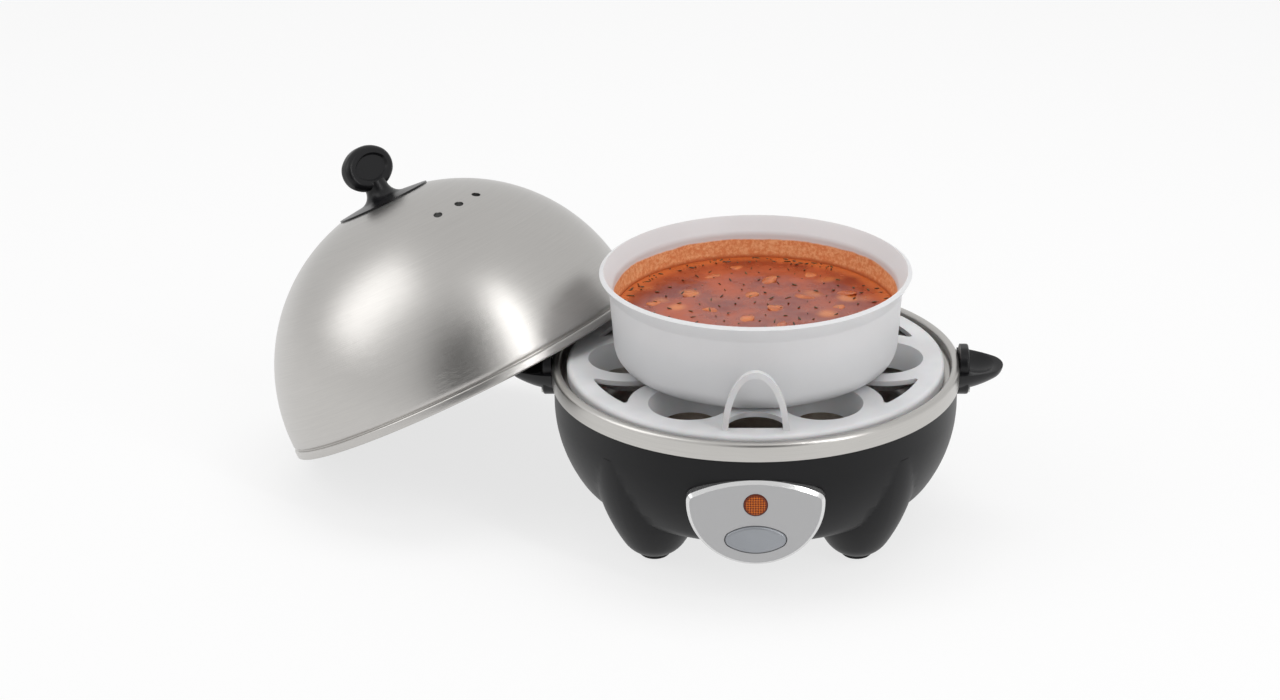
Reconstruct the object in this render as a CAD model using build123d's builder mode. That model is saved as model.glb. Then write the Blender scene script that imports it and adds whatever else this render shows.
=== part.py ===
"""Domestic seven-egg electric egg cooker with its steam bowl and steel lid.

Millimetres, +Z up, origin on the axis of the base, on the surface that it stands on.
The control panel faces -Y. The lid leans against the left of the base, rim on the table,
and the bowl stands on the egg tray.
"""

from build123d import *
from math import atan2, cos, degrees, radians, sin
import os

# --- driving dimensions -------------------------------------------------------------
# Gaps
slip_gap = 0.3  # between pieces that move or lift off
fit_gap = 0.15  # between fixed pieces that locate each other

# Rolled steel rim and steam pan
rim_radius = 89.0
rim_top = 73.0
rim_drop = 8.0
rim_width = 3.8
pan_sheet = 0.8
ledge_top = 67.4
ledge_width = 8.2
pan_side_lean = 4.0
pan_floor_top = 41.0
pan_hole_radius = 48.0

# Black base shell
shell_wall = 2.5
body_bottom = 18.0
bottom_turn_inset = 23.0
shoulder_inset, shoulder_height = 9.5, 25.5
waist_height = 55.0
lobe_radius = 26.6
lobe_inset = 45.5
lobe_height = 53.3
lobe_tip = 16.0
lobe_floor = 5.0
ledge_rib = 3.0

# Feet
pad_radius = 6.6
pad_height = 2.0
pad_stem_radius = 2.0
pad_stem_length = 4.0

# Bottom cover
cover_radius = 38.5
cover_thickness = 2.5
cover_ledge = 5.5
cover_screw_radius = 35.7
screw_head_radius = 2.8
screw_head_height = 1.6
screw_radius = 1.5
screw_length = 9.0
screw_boss_radius = 3.6
vent_slot_length, vent_slot_width = 12.0, 2.4

# Control panel
panel_proud = 1.0
panel_thickness = 5.5
panel_half_width = 28.6
panel_centre_height = 46.6
panel_top_height = 56.5
panel_top_radius = 64.0
panel_corner = 4.0
panel_edge = 1.5
boss_depth = 18.0
lens_height = 46.0
lens_radius = 4.95
lens_proud = 0.6
lamp_radius = 3.0
lamp_length = 5.0
button_height = 30.1
button_half_width, button_half_height = 12.7, 6.15
button_end = 3.6
button_proud = 0.9
button_cap = 3.4
button_travel = 2.5
stem_width, stem_height = 10.0, 5.0
switch_width, switch_depth, switch_tall = 20.0, 15.0, 13.0

# Side handles
flange_width = 18.0
flange_top = 78.4
flange_thickness = 3.6
handle_bottom = 57.0
ear_length = 19.0
ear_half_width = 12.0
ear_height = 70.6
ear_tilt = 9.0
ear_nose = 7.5
scoop_radius, scoop_depth = 15.0, 2.5
handle_screw_spread = 5.0
handle_screw_height = 60.4
handle_screw_length = 10.0

# Egg tray
tray_edge_gap = 2.9
tray_top = 73.2
tray_plate = 2.2
tray_wall = 1.8
tray_round = 2.0
slot_round = 1.2
well_edge = 9.3
well_radius = 17.5
well_floor_radius = 12.0
well_depth = 10.0
slot_reach = 0.5
slot_depth = 23.0
slot_well_margin = 8.6
window_radius = 12.6
window_setback = 3.2
window_edge = 8.8
arch_half_width = 13.9
arch_rise = 26.0
arch_bar = 2.6

# Steam bowl
bowl_height = 40.4
bowl_wall = 2.0
bowl_foot_radius = 61.0
bowl_foot_corner = 9.0
bowl_mouth_radius = 63.3
bowl_lip_radius = 67.3
bowl_lip_height = 6.8
bowl_step_drop = 14.0
bowl_taper = 1.2
bowl_step_in, bowl_step_rise, bowl_step_round = 0.4, 1.2, 0.8
bowl_lip_turn = 3.0
bowl_rim_round = 0.7
soup_level = 105.9

# Lid
lid_radius = 86.0
lid_sheet = 0.8
lid_bead_height = 4.0
lid_bead_width = 2.4
lid_bead_round = 0.8
lid_neck_in, lid_neck_start, lid_neck_rise = 1.2, 1.5, 1.6
lid_neck_step = 0.4
lid_height = 87.3
cap_radius = 22.5
vent_radius = 2.0
vent_circle = 50.0
vent_step = 13.75
vent_drop = 13.0
vent_lean_out, vent_lean_up = 0.62, 0.78
vent_cut = 8.0
lid_lean = 28.4
lid_heading = 153.0
lid_turn = -104.5
lid_stand_off, lid_y = 23.9, 55.8

# Lid knob
knob_base_radius = 21.5
neck_radius = 5.0
neck_height = 10.5
paddle_half_width, paddle_half_height = 13.2, 10.3
paddle_rise = 17.2
paddle_thickness = 7.4
paddle_end = 8.5
dish_margin = 4.0
dish_depth, dish_taper = 1.0, 40.0
paddle_round = 2.6
knob_edge, knob_flare, knob_flare_rise, knob_flare_turn = 0.9, 1.0, 2.6, 6.0
knob_screw_radius = 2.0
knob_screw_head, knob_screw_length = 2.4, 9.0
washer_radius, washer_thickness = 7.0, 1.2

# Heating parts under the pan
plate_radius = 53.0
plate_lip = 2.5
plate_boss_drop = 7.0
element_circle = 38.0
element_radius = 3.3
element_sweep = 300.0
element_turn = 15.0
pin_radius, pin_length = 1.8, 7.0
clamp_width, clamp_height = 7.0, 3.0
thermostat_radius, thermostat_height = 8.0, 6.0
fuse_radius, fuse_length, fuse_offset = 2.2, 22.0, 15.0
block_length, block_width, block_height = 22.0, 12.0, 9.0
block_offset = 20.0

# Cord inlet
gland_height = 32.0
gland_inset = 3.0
gland_flange_radius = 7.0
gland_flange = 2.5
gland_neck_radius = 5.0
gland_bore_radius = 3.6
gland_boss_radius = 8.5
gland_neck_length = 9.0

# --- sizes that follow ---------------------------------------------------------------
body_radius = rim_radius - pan_sheet - 0.2
rim_bottom = rim_top - rim_drop
plate_bottom = pan_floor_top - plate_boss_drop
ledge_inner_radius = rim_radius - rim_width - ledge_width
pan_floor_radius = ledge_inner_radius - pan_side_lean
bottom_turn_radius = rim_radius - bottom_turn_inset
shoulder_radius = rim_radius - shoulder_inset
lobe_spot = rim_radius - lobe_inset
panel_face = rim_radius + panel_proud
panel_back = panel_face - panel_thickness
boss_wall_back = panel_back - shell_wall
ear_reach = rim_radius + ear_length
gland_seat = rim_radius - gland_inset
tray_radius = rim_radius - rim_width - tray_edge_gap
well_circle = tray_radius - well_edge - well_radius
slot_outer_radius = well_circle + well_radius + slot_reach
slot_inner_radius = slot_outer_radius - slot_depth
window_front = tray_radius - window_edge
window_centre = window_front - window_setback
lid_x = -(ear_reach + lid_stand_off)
well_taper = degrees(atan2(well_radius - well_floor_radius, well_depth))
bowl_bottom = tray_top + slip_gap
bowl_top = bowl_bottom + bowl_height
lid_z = (
    (lid_radius - lid_bead_round) * sin(radians(lid_lean))
    - lid_bead_round * cos(radians(lid_lean))
    + lid_bead_round
)
lid_rest = Pos(lid_x, lid_y, lid_z) * Rot(0, 0, lid_heading) * Rot(0, lid_lean, 0) * Rot(0, 0, lid_turn)
foot_names = ("front_left", "front_right", "back_left", "back_right")
foot_spots = [(x, y) for y in (-lobe_spot, lobe_spot) for x in (-lobe_spot, lobe_spot)]

os.makedirs("parts", exist_ok=True)


def save(piece, name):
    """Label a finished piece and write it as its own STEP file."""
    piece.part.label = name
    export_step(piece.part, f"parts/{name}.step")


def body_solid(inset, top):
    """Bowl-shaped body of the base, drawn in by inset, up to height top."""
    with BuildPart() as body:
        with BuildSketch(Plane.XZ):
            with BuildLine():
                floor = Line((0, body_bottom + inset), (bottom_turn_radius - inset, body_bottom + inset))
                knuckle = (shoulder_radius - 0.8 * inset, shoulder_height + 0.6 * inset)
                turn = TangentArc(floor @ 1, knuckle, tangent=(1, 0))
                side = TangentArc(turn @ 1, (body_radius - inset, waist_height), tangent=turn % 1)
                Polyline(side @ 1, (body_radius - inset, top), (0, top), (0, body_bottom + inset))
            make_face()
        revolve(axis=Axis.Z)
    return body.part


def lobe_solid(inset, lift):
    """Lower half of an egg standing on its tip: a small round tip and a long round flank."""
    radius, height = lobe_radius - inset, lobe_height - lift
    flank = (radius**2 + height**2 - 2 * height * lobe_tip) / (2 * (radius - lobe_tip))
    tip_angle = degrees(atan2(flank - radius, height - lobe_tip))
    with BuildPart() as lobe:
        with BuildSketch(Plane.XZ):
            with BuildLine():
                tip = JernArc((0, lift), (1, 0), lobe_tip, tip_angle)
                side = TangentArc(tip @ 1, (radius, lobe_height), tangent=tip % 1)
                Polyline(side @ 1, (0, lobe_height), (0, lift))
            make_face()
        revolve(axis=Axis.Z)
    return lobe.part


def oval(half_width, half_height, end_radius):
    """Oval of four tangent arcs, centred on the sketch."""
    reach = half_width - end_radius
    side_radius = (reach**2 + half_height**2 - end_radius**2) / (2 * (half_height - end_radius))
    drop = side_radius - half_height
    corner = degrees(atan2(drop, reach))
    with BuildSketch() as shape:
        with BuildLine():
            CenterArc((reach, 0), end_radius, -corner, 2 * corner)
            CenterArc((0, -drop), side_radius, corner, 180 - 2 * corner)
            CenterArc((-reach, 0), end_radius, 180 - corner, 2 * corner)
            CenterArc((0, drop), side_radius, 180 + corner, 180 - 2 * corner)
        make_face()
    return shape.sketch


def panel_outline(inset):
    """Shield outline of the panel, drawn in by inset, on a sketch whose x is X and y is height."""
    with BuildSketch() as shield:
        with Locations((0, panel_centre_height)):
            Circle(panel_half_width - panel_corner - inset)
        with Locations((0, panel_top_height - panel_top_radius)):
            Circle(panel_top_radius - panel_corner - inset, mode=Mode.INTERSECT)
        offset(amount=panel_corner)
    return shield.sketch


def make_base_shell():
    """One black moulding: round body, four egg-shaped feet and the boss behind the panel."""
    with BuildPart() as base_shell:
        add(body_solid(0, rim_top - pan_sheet - 2))
        with Locations(*foot_spots):
            add(lobe_solid(0, 0))
        with Locations((0, 0, 0)):
            Box(4 * rim_radius, 4 * rim_radius, 2 * pad_height, mode=Mode.SUBTRACT)
        with BuildSketch(Plane.XZ.offset(panel_back)):
            add(panel_outline(0))
        extrude(amount=-boss_depth)
        with BuildSketch(Plane.XZ.offset(-gland_seat)):
            with Locations((0, gland_height)):
                Circle(gland_boss_radius)
        extrude(amount=gland_neck_length + 4)
        add(body_solid(shell_wall, rim_top), mode=Mode.SUBTRACT)
        with Locations(*foot_spots):
            add(lobe_solid(shell_wall, shell_wall + lobe_floor), mode=Mode.SUBTRACT)
        with BuildSketch(Plane.XZ.offset(boss_wall_back)):
            add(panel_outline(shell_wall))
        extrude(amount=-boss_depth, mode=Mode.SUBTRACT)
        with BuildSketch(Plane.XZ.offset(panel_back)):
            add(panel_outline(-fit_gap))
        extrude(amount=2 * panel_thickness, mode=Mode.SUBTRACT)
        # ledge inside the wall that carries the steam pan
        with BuildSketch(Plane.XY.offset(ledge_top - pan_sheet)):
            Circle(body_radius - 0.5)
            Circle(ledge_inner_radius + 2.5, mode=Mode.SUBTRACT)
        extrude(amount=-ledge_rib)
        with BuildSketch(Plane.XY.offset(ledge_top - pan_sheet)):
            Circle(rim_radius - rim_width + pan_sheet + fit_gap)
        extrude(amount=rim_drop, mode=Mode.SUBTRACT)
        # ledge and bosses round the opening that the bottom cover closes
        with BuildSketch(Plane.XY.offset(body_bottom + cover_thickness)):
            Circle(cover_radius + 3)
        extrude(amount=cover_thickness)
        with BuildSketch(Plane.XY.offset(body_bottom + cover_thickness)):
            with PolarLocations(cover_screw_radius, 4):
                Circle(screw_boss_radius)
        extrude(amount=screw_length)
        with BuildSketch(Plane.XY.offset(body_bottom)):
            Circle(cover_radius + fit_gap)
        extrude(amount=cover_thickness, mode=Mode.SUBTRACT)
        with BuildSketch(Plane.XY.offset(body_bottom)):
            Circle(cover_radius - cover_ledge)
        extrude(amount=2.5 * cover_thickness, mode=Mode.SUBTRACT)
        with BuildSketch(Plane.XY.offset(body_bottom)):
            with PolarLocations(cover_screw_radius, 4):
                Circle(screw_radius + fit_gap)
        extrude(amount=screw_length + 1, mode=Mode.SUBTRACT)
        # holes for the foot pads, the lamp, the button stem, the handle screws and the cord inlet
        with BuildSketch(Plane.XY.offset(pad_height)):
            with Locations(*foot_spots):
                Circle(pad_stem_radius + fit_gap)
        extrude(amount=pad_stem_length + fit_gap, mode=Mode.SUBTRACT)
        with BuildSketch(Plane.XZ.offset(boss_wall_back)):
            with Locations((0, lens_height)):
                Circle(lamp_radius + fit_gap)
            with Locations((0, button_height)):
                Rectangle(stem_width + 2 * slip_gap, stem_height + 2 * slip_gap)
        extrude(amount=2 * shell_wall, mode=Mode.SUBTRACT)
        with BuildSketch(Plane.YZ):
            with Locations(*[(y, handle_screw_height) for y in (-handle_screw_spread, handle_screw_spread)]):
                Circle(screw_radius + fit_gap)
        extrude(amount=rim_radius, both=True, mode=Mode.SUBTRACT)
        with BuildSketch(Plane.XZ.offset(-gland_seat)):
            with Locations((0, gland_height)):
                Circle(gland_neck_radius + fit_gap)
        extrude(amount=gland_neck_length + 8, mode=Mode.SUBTRACT)
    return base_shell


def make_bottom_cover():
    """Round cover with a ring of vent slots and countersunk screw seats."""
    with BuildPart() as bottom_cover:
        with BuildSketch(Plane.XY.offset(body_bottom)):
            Circle(cover_radius)
            with PolarLocations(cover_radius * 0.5, 8, start_angle=22.5):
                SlotOverall(vent_slot_length, vent_slot_width, mode=Mode.SUBTRACT)
            with PolarLocations(cover_screw_radius, 4):
                Circle(screw_radius + fit_gap, mode=Mode.SUBTRACT)
        extrude(amount=cover_thickness)
        with BuildSketch(Plane.XY.offset(body_bottom)):
            with PolarLocations(cover_screw_radius, 4):
                Circle(screw_head_radius + fit_gap)
        extrude(amount=screw_head_height, mode=Mode.SUBTRACT)
    return bottom_cover


def make_cover_screws():
    """Four pan-head screws that hold the bottom cover from below."""
    with BuildPart() as cover_screws:
        with BuildSketch(Plane.XY.offset(body_bottom)):
            with PolarLocations(cover_screw_radius, 4):
                Circle(screw_head_radius)
        extrude(amount=screw_head_height)
        with BuildSketch(Plane.XY.offset(body_bottom)):
            with PolarLocations(cover_screw_radius, 4):
                Circle(screw_radius)
        extrude(amount=screw_length)
    return cover_screws


def make_foot_pad(spot):
    """Rubber pad with a stem that plugs into the tip of a foot."""
    with BuildPart() as pad:
        with BuildSketch(Plane.XY):
            with Locations(spot):
                Circle(pad_radius)
        extrude(amount=pad_height)
        chamfer(pad.edges().group_by(Axis.Z)[0], 0.6)
        with BuildSketch(Plane.XY.offset(pad_height)):
            with Locations(spot):
                Circle(pad_stem_radius)
        extrude(amount=pad_stem_length)
    return pad


def make_steam_pan():
    """Drawn steel pan: rolled rim, tray ledge, tapered wall and a floor with a round hole."""
    with BuildPart() as steam_pan:
        with BuildSketch(Plane.XZ):
            with BuildLine():
                FilletPolyline(
                    (rim_radius, rim_bottom),
                    (rim_radius, rim_top),
                    (rim_radius - rim_width, rim_top),
                    (rim_radius - rim_width, ledge_top),
                    (ledge_inner_radius, ledge_top),
                    (pan_floor_radius, pan_floor_top),
                    (pan_hole_radius, pan_floor_top),
                    radius=(1.8, 1.4, 1.2, 2.0, 8.0),
                )
                offset(amount=pan_sheet, side=Side.LEFT)
            make_face()
        revolve(axis=Axis.Z)
    return steam_pan


def make_heating_plate():
    """Shallow dished plate that closes the hole in the pan floor, grooved for the element."""
    with BuildPart() as heating_plate:
        with BuildSketch(Plane.XZ):
            with BuildLine():
                foot = Polyline(
                    (0, plate_bottom),
                    (pan_hole_radius - slip_gap, plate_bottom),
                    (pan_hole_radius - slip_gap, pan_floor_top),
                    (plate_radius, pan_floor_top),
                    (plate_radius, pan_floor_top + plate_lip),
                    (plate_radius - 2, pan_floor_top + plate_lip),
                )
                dish = FilletPolyline(
                    foot @ 1,
                    (plate_radius - 7, pan_floor_top + 0.4),
                    (0, pan_floor_top + 0.4),
                    radius=6,
                )
                Line(dish @ 1, (0, plate_bottom))
            make_face()
        revolve(axis=Axis.Z)
        with BuildSketch(Plane.XZ):
            with Locations((element_circle, plate_bottom)):
                Circle(element_radius + fit_gap)
        revolve(axis=Axis.Z, mode=Mode.SUBTRACT)
    return heating_plate


def make_heating_element():
    """Tubular ring element with a terminal pin at each end."""
    with BuildPart() as heating_element:
        with BuildSketch(Plane.XZ):
            with Locations((element_circle, plate_bottom)):
                Circle(element_radius)
        revolve(axis=Axis.Z, revolution_arc=element_sweep)
        with BuildSketch(Plane.XY.offset(plate_bottom - element_radius + 1)):
            pin_sweep = element_sweep - 8
            with PolarLocations(element_circle, 2, start_angle=4, angular_range=pin_sweep, endpoint=True):
                Circle(pin_radius)
        extrude(amount=-pin_length)
    heating_element.part = heating_element.part.rotate(Axis.Z, element_turn)
    return heating_element


def make_clamp_ring():
    """Push-on ring that holds the plate to the pan from below."""
    with BuildPart() as clamp_ring:
        with BuildSketch(Plane.XY.offset(pan_floor_top - pan_sheet)):
            Circle(pan_hole_radius + clamp_width)
            Circle(pan_hole_radius - slip_gap + 0.1, mode=Mode.SUBTRACT)
        extrude(amount=-clamp_height)
    return clamp_ring


def make_thermostat():
    """Disc thermostat against the middle of the plate, with two blade terminals."""
    with BuildPart() as thermostat:
        with BuildSketch(Plane.XY.offset(plate_bottom)):
            Circle(thermostat_radius)
        extrude(amount=-thermostat_height)
        with BuildSketch(Plane.XY.offset(plate_bottom - thermostat_height)):
            with GridLocations(9, 1, 2, 1):
                Rectangle(0.8, 4.8)
        extrude(amount=-5)
    return thermostat


def make_thermal_fuse():
    """Sleeved thermal fuse that lies under the plate."""
    with BuildPart() as thermal_fuse:
        with BuildSketch(Plane.YZ.offset(-fuse_length / 2)):
            with Locations((fuse_offset, plate_bottom - fuse_radius - fit_gap)):
                Circle(fuse_radius)
        extrude(amount=fuse_length)
    return thermal_fuse


def make_terminal_block():
    """Terminal block that stands on the bottom cover."""
    with BuildPart() as terminal_block:
        with BuildSketch(Plane.XY.offset(body_bottom + cover_thickness)):
            with Locations((0, -block_offset)):
                Rectangle(block_length, block_width)
        extrude(amount=block_height)
        with BuildSketch(Plane.XZ.offset(block_offset + block_width / 2)):
            with Locations((0, body_bottom + cover_thickness + 0.4 * block_height)):
                with GridLocations(block_length / 3, 1, 3, 1):
                    Circle(1.6)
        extrude(amount=-block_width, mode=Mode.SUBTRACT)
    return terminal_block


def make_control_panel():
    """Silver shield with a bevelled edge, a round hole for the lens and an oval one for the button."""
    with BuildPart() as control_panel:
        with BuildSketch(Plane.XZ.offset(panel_back)):
            add(panel_outline(0))
        extrude(amount=panel_thickness)
        chamfer(control_panel.faces().sort_by(Axis.Y)[0].edges(), panel_edge)
        with BuildSketch(Plane.XZ.offset(panel_back)):
            with Locations((0, lens_height)):
                Circle(lens_radius + fit_gap)
            with Locations((0, button_height)):
                add(oval(button_half_width + slip_gap, button_half_height + slip_gap, button_end + slip_gap))
        extrude(amount=panel_thickness, mode=Mode.SUBTRACT)
    return control_panel


def make_indicator_lens():
    """Orange lens that stands on the boss wall and shows through the panel."""
    with BuildPart() as indicator_lens:
        with BuildSketch(Plane.XZ.offset(panel_back)):
            with Locations((0, lens_height)):
                Circle(lens_radius)
        extrude(amount=panel_thickness + lens_proud)
        fillet(indicator_lens.faces().sort_by(Axis.Y)[0].edges(), 0.9)
    return indicator_lens


def make_indicator_lamp():
    """Neon lamp in its holder behind the lens."""
    with BuildPart() as indicator_lamp:
        with BuildSketch(Plane.XZ.offset(panel_back)):
            with Locations((0, lens_height)):
                Circle(lamp_radius)
        extrude(amount=-shell_wall - lamp_length)
        with BuildSketch(Plane.XZ.offset(boss_wall_back)):
            with Locations((0, lens_height)):
                Circle(lamp_radius + 1.6)
        extrude(amount=-2)
    return indicator_lamp


def make_power_button():
    """Oval push button with a domed face and a flat stem that reaches into the switch."""
    with BuildPart() as power_button:
        with BuildSketch(Plane.XZ.offset(panel_face + button_proud - button_cap)):
            with Locations((0, button_height)):
                add(oval(button_half_width, button_half_height, button_end))
        extrude(amount=button_cap)
        fillet(power_button.faces().sort_by(Axis.Y)[0].edges(), 1.2)
        with BuildSketch(Plane.XZ.offset(boss_wall_back - slip_gap)):
            with Locations((0, button_height)):
                Rectangle(stem_width, stem_height)
        extrude(until=Until.NEXT)
    return power_button


def make_switch_body():
    """Latching switch behind the boss wall, with a pocket for the button's stem."""
    with BuildPart() as switch_body:
        with BuildSketch(Plane.XZ.offset(boss_wall_back)):
            with Locations((0, button_height)):
                Rectangle(switch_width, switch_tall)
        extrude(amount=-switch_depth)
        with BuildSketch(Plane.XZ.offset(boss_wall_back)):
            with Locations((0, button_height)):
                Rectangle(stem_width + 2 * slip_gap, stem_height + 2 * slip_gap)
        extrude(amount=-slip_gap * 2 - button_travel - 0.4, mode=Mode.SUBTRACT)
    return switch_body


def ear_solid():
    """Ear of the handle: a round-nosed body cut off by a tilted top and scooped out."""
    middle = (ear_reach - ear_half_width, 0, ear_height)
    top = Plane(middle, x_dir=(1, 0, -0.06), z_dir=(0.06, -sin(radians(ear_tilt)), 1))
    with BuildPart() as ear:
        with BuildSketch(Plane.XZ):
            with BuildLine():
                nose = JernArc((ear_reach, ear_height), (0, -1), ear_nose, -62)
                belly = TangentArc(nose @ 1, (rim_radius - 1, ear_height - ear_half_width), tangent=nose % 1)
                Polyline(belly @ 1, (rim_radius - 1, ear_height), (ear_reach, ear_height))
            make_face()
        revolve(axis=Axis((0, 0, ear_height), (1, 0, 0)))
        with BuildSketch(top):
            Rectangle(6 * ear_half_width, 6 * ear_half_width)
        extrude(amount=3 * ear_half_width, mode=Mode.SUBTRACT)
        with Locations(top.offset(scoop_radius - scoop_depth).location):
            Sphere(scoop_radius, mode=Mode.SUBTRACT)
    return ear.part


def make_handle(side):
    """Side handle: a rounded flange against the rim and a scooped ear. side is 1 or -1."""
    with BuildPart() as handle:
        with BuildSketch(Plane.YZ.offset(rim_radius - 3)):
            with Locations((0, (flange_top + handle_bottom) / 2)):
                RectangleRounded(flange_width, flange_top - handle_bottom, 0.42 * flange_width)
        extrude(amount=3 + fit_gap + flange_thickness)
        fillet(handle.faces().sort_by(Axis.X)[-1].edges(), 1.0)
        add(ear_solid())
        with BuildSketch(Plane.XY.offset(handle_bottom - 5)):
            Circle(body_radius + fit_gap)
        extrude(amount=40, mode=Mode.SUBTRACT)
        with BuildSketch(Plane.XY.offset(rim_bottom - fit_gap)):
            Circle(rim_radius + fit_gap)
        extrude(amount=40, mode=Mode.SUBTRACT)
        with BuildSketch(Plane.YZ):
            with Locations(*[(y, handle_screw_height) for y in (-handle_screw_spread, handle_screw_spread)]):
                Circle(screw_radius + fit_gap)
        extrude(amount=body_radius - shell_wall + handle_screw_length, mode=Mode.SUBTRACT)
    if side < 0:
        handle.part = mirror(handle.part, about=Plane.YZ)
    return handle


def make_handle_screws():
    """Two screws for each handle, put in from inside the shell."""
    head = body_radius - shell_wall - screw_head_height - 0.6
    spots = [(y, handle_screw_height) for y in (-handle_screw_spread, handle_screw_spread)]
    with BuildPart() as handle_screws:
        for direction in (1, -1):
            with BuildSketch(Plane.YZ.offset(direction * head)):
                with Locations(*spots):
                    Circle(screw_head_radius)
            extrude(amount=direction * screw_head_height)
            with BuildSketch(Plane.YZ.offset(direction * head)):
                with Locations(*spots):
                    Circle(screw_radius)
            extrude(amount=direction * handle_screw_length)
    return handle_screws


def make_cord_gland():
    """Bushing at the rear that the mains cord goes through."""
    with BuildPart() as cord_gland:
        with BuildSketch(Plane.XZ.offset(-gland_seat)):
            with Locations((0, gland_height)):
                Circle(gland_flange_radius)
        extrude(amount=-gland_flange)
        fillet(cord_gland.faces().sort_by(Axis.Y)[-1].edges(), 1.0)
        with BuildSketch(Plane.XZ.offset(-gland_seat)):
            with Locations((0, gland_height)):
                Circle(gland_neck_radius)
        extrude(amount=gland_neck_length)
        with BuildSketch(Plane.XZ.offset(-gland_seat - gland_flange)):
            with Locations((0, gland_height)):
                Circle(gland_bore_radius)
        extrude(amount=gland_flange + gland_neck_length, mode=Mode.SUBTRACT)
    return cord_gland


def make_egg_tray():
    """Moulded tray: seven egg wells, four slots, two windows and two lifting arches."""
    skirt = tray_top - ledge_top - slip_gap
    with BuildPart() as egg_tray:
        with BuildSketch(Plane.XY.offset(tray_top)):
            Circle(tray_radius)
        extrude(amount=-skirt)
        fillet(egg_tray.edges().group_by(Axis.Z)[-1], tray_round)
        with BuildSketch(Plane.XY.offset(tray_top - tray_plate)):
            Circle(tray_radius - tray_wall)
        extrude(amount=-skirt, mode=Mode.SUBTRACT)
        # wells: the tapered outside first, then the tapered hollow
        for margin, mode in ((tray_wall, Mode.ADD), (0, Mode.SUBTRACT)):
            with BuildSketch(Plane.XY.offset(tray_top)):
                Circle(well_radius + margin)
                with PolarLocations(well_circle, 6, start_angle=0):
                    Circle(well_radius + margin)
            extrude(amount=-well_depth, taper=well_taper, mode=mode)
        # slots between the side wells
        with BuildSketch(Plane.XY.offset(tray_top)) as slots:
            Circle(slot_outer_radius)
            Circle(slot_inner_radius, mode=Mode.SUBTRACT)
            with PolarLocations(well_circle, 6, start_angle=0):
                Circle(well_radius + slot_well_margin, mode=Mode.SUBTRACT)
            with Locations((0, -slot_outer_radius), (0, slot_outer_radius)):
                Circle(slot_outer_radius / 2, mode=Mode.SUBTRACT)
            fillet(slots.vertices(), slot_round)
        extrude(amount=-2 * tray_plate, mode=Mode.SUBTRACT)
        # windows behind the arches
        with BuildSketch(Plane.XY.offset(tray_top)):
            with PolarLocations(window_centre, 2, start_angle=90):
                Circle(window_radius)
            Rectangle(2 * window_radius, 2 * window_front, mode=Mode.INTERSECT)
        extrude(amount=-2 * tray_plate, mode=Mode.SUBTRACT)
        # lifting arches
        with BuildSketch(Plane.XZ.offset(window_front)):
            with Locations((0, tray_top - tray_plate)):
                Ellipse(arch_half_width, arch_rise + tray_plate)
                Ellipse(arch_half_width - arch_bar, arch_rise + tray_plate - arch_bar, mode=Mode.SUBTRACT)
                below = (Align.CENTER, Align.MAX)
                Rectangle(4 * arch_half_width, 2 * arch_rise, align=below, mode=Mode.SUBTRACT)
        extrude(amount=arch_bar)
        mirror(about=Plane.XZ)
    return egg_tray


def make_cooking_bowl():
    """Round bowl with a near-vertical wall, a step line and a flared lip."""
    with BuildPart() as cooking_bowl:
        with BuildSketch(Plane.XZ):
            with BuildLine():
                FilletPolyline(
                    (0, bowl_bottom),
                    (bowl_foot_radius, bowl_bottom),
                    (bowl_foot_radius + bowl_taper, bowl_top - bowl_step_drop),
                    (bowl_mouth_radius - bowl_step_in, bowl_top - bowl_step_drop + bowl_step_rise),
                    (bowl_mouth_radius, bowl_top - bowl_lip_height),
                    (bowl_lip_radius, bowl_top),
                    radius=(bowl_foot_corner, bowl_step_round, bowl_step_round, bowl_lip_turn),
                )
                offset(amount=bowl_wall, side=Side.LEFT)
            make_face()
        revolve(axis=Axis.Z)
        fillet(cooking_bowl.edges().group_by(Axis.Z)[-1], bowl_rim_round)
    return cooking_bowl


def make_soup():
    """Soup that fills the bowl, standing clear of its wall by the slip gap."""
    reach = bowl_wall + slip_gap
    with BuildPart() as soup:
        with BuildSketch(Plane.XZ):
            with BuildLine():
                FilletPolyline(
                    (0, bowl_bottom + reach),
                    (bowl_foot_radius - reach, bowl_bottom + reach),
                    (bowl_foot_radius + 1.2 - reach, bowl_top - bowl_step_drop),
                    (bowl_mouth_radius - 0.4 - reach, soup_level),
                    (0, soup_level),
                    radius=(bowl_foot_corner - bowl_wall, 0.8, 0.5),
                )
                Line((0, soup_level), (0, bowl_bottom + reach))
            make_face()
        revolve(axis=Axis.Z)
    return soup


def make_lid_dome():
    """Spun steel dome with a rolled bead, a flat cap and three steam vents."""
    start = lid_bead_height + lid_neck_rise
    with BuildPart() as lid_dome:
        with BuildSketch(Plane.XZ):
            with BuildLine():
                neck = Polyline(
                    (lid_radius - lid_neck_in, lid_neck_start),
                    (lid_radius - lid_neck_in, lid_bead_height + lid_neck_step),
                    (lid_radius - lid_neck_step, start),
                )
                crown = TangentArc(neck @ 1, (cap_radius, lid_height), tangent=(0, 1))
                Line(crown @ 1, (knob_screw_radius + slip_gap, lid_height))
                offset(amount=lid_sheet, side=Side.LEFT)
            make_face()
        revolve(axis=Axis.Z)
        with BuildSketch(Plane.XZ):
            with Locations((lid_radius - lid_bead_width, 0)):
                RectangleRounded(
                    lid_bead_width, lid_bead_height, lid_bead_round, align=(Align.MIN, Align.MIN)
                )
        revolve(axis=Axis.Z)
        for turn in (-vent_step, 0, vent_step):
            vent_height = lid_height - vent_drop
            outward = (sin(radians(turn)), -cos(radians(turn)))
            spot = Plane(
                origin=(vent_circle * outward[0], vent_circle * outward[1], vent_height),
                z_dir=(vent_lean_out * outward[0], vent_lean_out * outward[1], vent_lean_up),
            )
            with BuildSketch(spot):
                Circle(vent_radius)
            extrude(amount=vent_cut, both=True, mode=Mode.SUBTRACT)
    return lid_dome


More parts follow.
